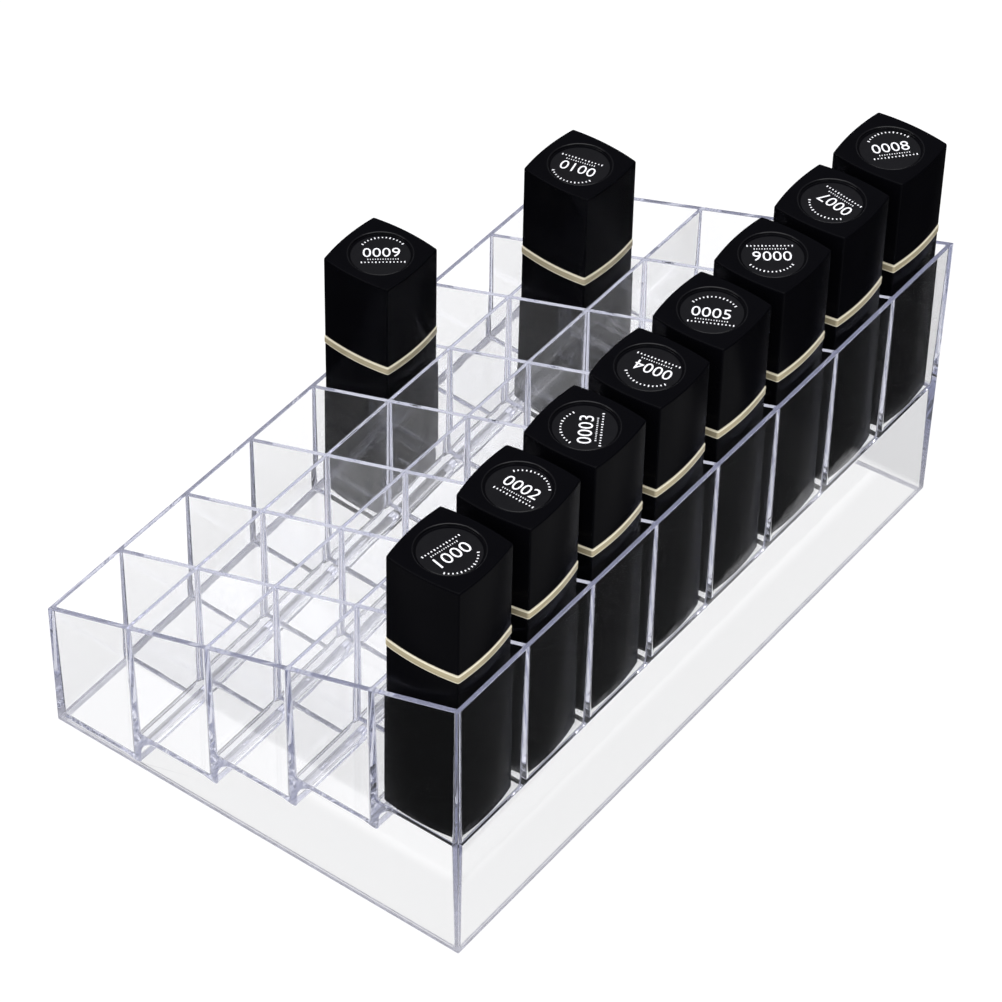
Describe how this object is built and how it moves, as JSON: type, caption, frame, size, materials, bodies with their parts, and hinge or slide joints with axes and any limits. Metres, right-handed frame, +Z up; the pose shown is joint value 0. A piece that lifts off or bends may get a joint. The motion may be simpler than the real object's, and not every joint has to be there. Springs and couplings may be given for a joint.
{
  "type": "vanity organizer",
  "caption": "Clear stepped organizer tray with rising rows of square cells and a slanted rim, with removable square twist-up lipsticks stored upside-down in some cells.",
  "frame": {"origin": "centre of the tray's outline, on the surface that it stands on", "axes": "+X along the eight cells of a row, +Y towards the tall rear, +Z up"},
  "size_m": [0.2274, 0.139, 0.1294],
  "materials": {
    "clear_plastic": "polished transparent moulded polystyrene, faint lavender edges",
    "black_plastic": "satin black moulded plastic",
    "gold_metal": "polished pale gold anodised metal",
    "carrier_plastic": "smooth off-white moulded plastic",
    "wax": "satin red wax"
  },
  "bodies": {
    "tray": {"front_wall": "clear_plastic", "rear_wall": "clear_plastic", "left_end_wall": "clear_plastic", "right_end_wall": "clear_plastic", "cross_dividers": "clear_plastic", "long_divider_1": "clear_plastic", "long_divider_2": "clear_plastic", "long_divider_3": "clear_plastic", "long_divider_4": "clear_plastic", "cell_floors": "clear_plastic"},
    "lipstick_01_cap": {"lipstick_01_cap": "black_plastic"},
    "lipstick_01_collar": {"lipstick_01_collar": "gold_metal"},
    "lipstick_01_base": {"lipstick_01_base": "black_plastic"},
    "lipstick_01_bullet": {"lipstick_01_cup": "carrier_plastic", "lipstick_01_bullet": "wax"},
    "lipstick_02_cap": {"lipstick_02_cap": "black_plastic"},
    "lipstick_02_collar": {"lipstick_02_collar": "gold_metal"},
    "lipstick_02_base": {"lipstick_02_base": "black_plastic"},
    "lipstick_02_bullet": {"lipstick_02_cup": "carrier_plastic", "lipstick_02_bullet": "wax"},
    "lipstick_03_cap": {"lipstick_03_cap": "black_plastic"},
    "lipstick_03_collar": {"lipstick_03_collar": "gold_metal"},
    "lipstick_03_base": {"lipstick_03_base": "black_plastic"},
    "lipstick_03_bullet": {"lipstick_03_cup": "carrier_plastic", "lipstick_03_bullet": "wax"},
    "lipstick_04_cap": {"lipstick_04_cap": "black_plastic"},
    "lipstick_04_collar": {"lipstick_04_collar": "gold_metal"},
    "lipstick_04_base": {"lipstick_04_base": "black_plastic"},
    "lipstick_04_bullet": {"lipstick_04_cup": "carrier_plastic", "lipstick_04_bullet": "wax"},
    "lipstick_05_cap": {"lipstick_05_cap": "black_plastic"},
    "lipstick_05_collar": {"lipstick_05_collar": "gold_metal"},
    "lipstick_05_base": {"lipstick_05_base": "black_plastic"},
    "lipstick_05_bullet": {"lipstick_05_cup": "carrier_plastic", "lipstick_05_bullet": "wax"},
    "lipstick_06_cap": {"lipstick_06_cap": "black_plastic"},
    "lipstick_06_collar": {"lipstick_06_collar": "gold_metal"},
    "lipstick_06_base": {"lipstick_06_base": "black_plastic"},
    "lipstick_06_bullet": {"lipstick_06_cup": "carrier_plastic", "lipstick_06_bullet": "wax"},
    "lipstick_07_cap": {"lipstick_07_cap": "black_plastic"},
    "lipstick_07_collar": {"lipstick_07_collar": "gold_metal"},
    "lipstick_07_base": {"lipstick_07_base": "black_plastic"},
    "lipstick_07_bullet": {"lipstick_07_cup": "carrier_plastic", "lipstick_07_bullet": "wax"},
    "lipstick_08_cap": {"lipstick_08_cap": "black_plastic"},
    "lipstick_08_collar": {"lipstick_08_collar": "gold_metal"},
    "lipstick_08_base": {"lipstick_08_base": "black_plastic"},
    "lipstick_08_bullet": {"lipstick_08_cup": "carrier_plastic", "lipstick_08_bullet": "wax"},
    "lipstick_09_cap": {"lipstick_09_cap": "black_plastic"},
    "lipstick_09_collar": {"lipstick_09_collar": "gold_metal"},
    "lipstick_09_base": {"lipstick_09_base": "black_plastic"},
    "lipstick_09_bullet": {"lipstick_09_cup": "carrier_plastic", "lipstick_09_bullet": "wax"},
    "lipstick_10_cap": {"lipstick_10_cap": "black_plastic"},
    "lipstick_10_collar": {"lipstick_10_collar": "gold_metal"},
    "lipstick_10_base": {"lipstick_10_base": "black_plastic"},
    "lipstick_10_bullet": {"lipstick_10_cup": "carrier_plastic", "lipstick_10_bullet": "wax"}
  },
  "joints": [
    {"name": "lipstick_01_lift", "type": "slide", "parent": "tray", "child": "lipstick_01_cap", "axis": [0, 0, 1], "range_m": [0, 0.06]},
    {"name": "lipstick_01_uncap", "type": "slide", "parent": "lipstick_01_cap", "child": "lipstick_01_collar", "axis": [0, 0, 1], "range_m": [0, 0.05]},
    {"name": "lipstick_01_twist", "type": "hinge", "parent": "lipstick_01_collar", "child": "lipstick_01_base", "pos_m": [0.0985, 0.0548, 0.1114], "axis": [0, 0, 1], "range_deg": [0, 540]},
    {"name": "lipstick_01_rise", "type": "slide", "parent": "lipstick_01_collar", "child": "lipstick_01_bullet", "axis": [0, 0, -1], "range_m": [0, 0.0201]},
    {"name": "lipstick_02_lift", "type": "slide", "parent": "tray", "child": "lipstick_02_cap", "axis": [0, 0, 1], "range_m": [0, 0.06]},
    {"name": "lipstick_02_uncap", "type": "slide", "parent": "lipstick_02_cap", "child": "lipstick_02_collar", "axis": [0, 0, 1], "range_m": [0, 0.05]},
    {"name": "lipstick_02_twist", "type": "hinge", "parent": "lipstick_02_collar", "child": "lipstick_02_base", "pos_m": [0.0702, 0.0548, 0.1114], "axis": [0, 0, 1], "range_deg": [0, 540]},
    {"name": "lipstick_02_rise", "type": "slide", "parent": "lipstick_02_collar", "child": "lipstick_02_bullet", "axis": [0, 0, -1], "range_m": [0, 0.0201]},
    {"name": "lipstick_03_lift", "type": "slide", "parent": "tray", "child": "lipstick_03_cap", "axis": [0, 0, 1], "range_m": [0, 0.06]},
    {"name": "lipstick_03_uncap", "type": "slide", "parent": "lipstick_03_cap", "child": "lipstick_03_collar", "axis": [0, 0, 1], "range_m": [0, 0.05]},
    {"name": "lipstick_03_twist", "type": "hinge", "parent": "lipstick_03_collar", "child": "lipstick_03_base", "pos_m": [0.042, 0.0547, 0.1114], "axis": [0, 0, 1], "range_deg": [0, 540]},
    {"name": "lipstick_03_rise", "type": "slide", "parent": "lipstick_03_collar", "child": "lipstick_03_bullet", "axis": [0, 0, -1], "range_m": [0, 0.0201]},
    {"name": "lipstick_04_lift", "type": "slide", "parent": "tray", "child": "lipstick_04_cap", "axis": [0, 0, 1], "range_m": [0, 0.06]},
    {"name": "lipstick_04_uncap", "type": "slide", "parent": "lipstick_04_cap", "child": "lipstick_04_collar", "axis": [0, 0, 1], "range_m": [0, 0.05]},
    {"name": "lipstick_04_twist", "type": "hinge", "parent": "lipstick_04_collar", "child": "lipstick_04_base", "pos_m": [0.014, 0.0548, 0.1114], "axis": [0, 0, 1], "range_deg": [0, 540]},
    {"name": "lipstick_04_rise", "type": "slide", "parent": "lipstick_04_collar", "child": "lipstick_04_bullet", "axis": [0, 0, -1], "range_m": [0, 0.0201]},
    {"name": "lipstick_05_lift", "type": "slide", "parent": "tray", "child": "lipstick_05_cap", "axis": [0, 0, 1], "range_m": [0, 0.06]},
    {"name": "lipstick_05_uncap", "type": "slide", "parent": "lipstick_05_cap", "child": "lipstick_05_collar", "axis": [0, 0, 1], "range_m": [0, 0.05]},
    {"name": "lipstick_05_twist", "type": "hinge", "parent": "lipstick_05_collar", "child": "lipstick_05_base", "pos_m": [-0.0141, 0.0548, 0.1114], "axis": [0, 0, 1], "range_deg": [0, 540]},
    {"name": "lipstick_05_rise", "type": "slide", "parent": "lipstick_05_collar", "child": "lipstick_05_bullet", "axis": [0, 0, -1], "range_m": [0, 0.0201]},
    {"name": "lipstick_06_lift", "type": "slide", "parent": "tray", "child": "lipstick_06_cap", "axis": [0, 0, 1], "range_m": [0, 0.06]},
    {"name": "lipstick_06_uncap", "type": "slide", "parent": "lipstick_06_cap", "child": "lipstick_06_collar", "axis": [0, 0, 1], "range_m": [0, 0.05]},
    {"name": "lipstick_06_twist", "type": "hinge", "parent": "lipstick_06_collar", "child": "lipstick_06_base", "pos_m": [-0.0421, 0.0548, 0.1114], "axis": [0, 0, 1], "range_deg": [0, 540]},
    {"name": "lipstick_06_rise", "type": "slide", "parent": "lipstick_06_collar", "child": "lipstick_06_bullet", "axis": [0, 0, -1], "range_m": [0, 0.0201]},
    {"name": "lipstick_07_lift", "type": "slide", "parent": "tray", "child": "lipstick_07_cap", "axis": [0, 0, 1], "range_m": [0, 0.06]},
    {"name": "lipstick_07_uncap", "type": "slide", "parent": "lipstick_07_cap", "child": "lipstick_07_collar", "axis": [0, 0, 1], "range_m": [0, 0.05]},
    {"name": "lipstick_07_twist", "type": "hinge", "parent": "lipstick_07_collar", "child": "lipstick_07_base", "pos_m": [-0.0702, 0.0548, 0.1114], "axis": [0, 0, 1], "range_deg": [0, 540]},
    {"name": "lipstick_07_rise", "type": "slide", "parent": "lipstick_07_collar", "child": "lipstick_07_bullet", "axis": [0, 0, -1], "range_m": [0, 0.0201]},
    {"name": "lipstick_08_lift", "type": "slide", "parent": "tray", "child": "lipstick_08_cap", "axis": [0, 0, 1], "range_m": [0, 0.06]},
    {"name": "lipstick_08_uncap", "type": "slide", "parent": "lipstick_08_cap", "child": "lipstick_08_collar", "axis": [0, 0, 1], "range_m": [0, 0.05]},
    {"name": "lipstick_08_twist", "type": "hinge", "parent": "lipstick_08_collar", "child": "lipstick_08_base", "pos_m": [-0.0985, 0.0549, 0.1114], "axis": [0, 0, 1], "range_deg": [0, 540]},
    {"name": "lipstick_08_rise", "type": "slide", "parent": "lipstick_08_collar", "child": "lipstick_08_bullet", "axis": [0, 0, -1], "range_m": [0, 0.0201]},
    {"name": "lipstick_09_lift", "type": "slide", "parent": "tray", "child": "lipstick_09_cap", "axis": [0, 0, 1], "range_m": [0, 0.06]},
    {"name": "lipstick_09_uncap", "type": "slide", "parent": "lipstick_09_cap", "child": "lipstick_09_collar", "axis": [0, 0, 1], "range_m": [0, 0.05]},
    {"name": "lipstick_09_twist", "type": "hinge", "parent": "lipstick_09_collar", "child": "lipstick_09_base", "pos_m": [-0.0141, -0.0549, 0.073], "axis": [0, 0, 1], "range_deg": [0, 540]},
    {"name": "lipstick_09_rise", "type": "slide", "parent": "lipstick_09_collar", "child": "lipstick_09_bullet", "axis": [0, 0, -1], "range_m": [0, 0.0201]},
    {"name": "lipstick_10_lift", "type": "slide", "parent": "tray", "child": "lipstick_10_cap", "axis": [0, 0, 1], "range_m": [0, 0.06]},
    {"name": "lipstick_10_uncap", "type": "slide", "parent": "lipstick_10_cap", "child": "lipstick_10_collar", "axis": [0, 0, 1], "range_m": [0, 0.05]},
    {"name": "lipstick_10_twist", "type": "hinge", "parent": "lipstick_10_collar", "child": "lipstick_10_base", "pos_m": [-0.0698, -0.0274, 0.0826], "axis": [0, 0, 1], "range_deg": [0, 540]},
    {"name": "lipstick_10_rise", "type": "slide", "parent": "lipstick_10_collar", "child": "lipstick_10_bullet", "axis": [0, 0, -1], "range_m": [0, 0.0201]}
  ],
  "couplings": [
    {"joint": "lipstick_01_rise", "follows": "lipstick_01_twist", "m_per_rad": 0.0021221},
    {"joint": "lipstick_02_rise", "follows": "lipstick_02_twist", "m_per_rad": 0.0021221},
    {"joint": "lipstick_03_rise", "follows": "lipstick_03_twist", "m_per_rad": 0.0021221},
    {"joint": "lipstick_04_rise", "follows": "lipstick_04_twist", "m_per_rad": 0.0021221},
    {"joint": "lipstick_05_rise", "follows": "lipstick_05_twist", "m_per_rad": 0.0021221},
    {"joint": "lipstick_06_rise", "follows": "lipstick_06_twist", "m_per_rad": 0.0021221},
    {"joint": "lipstick_07_rise", "follows": "lipstick_07_twist", "m_per_rad": 0.0021221},
    {"joint": "lipstick_08_rise", "follows": "lipstick_08_twist", "m_per_rad": 0.0021221},
    {"joint": "lipstick_09_rise", "follows": "lipstick_09_twist", "m_per_rad": 0.0021221},
    {"joint": "lipstick_10_rise", "follows": "lipstick_10_twist", "m_per_rad": 0.0021221}
  ]
}
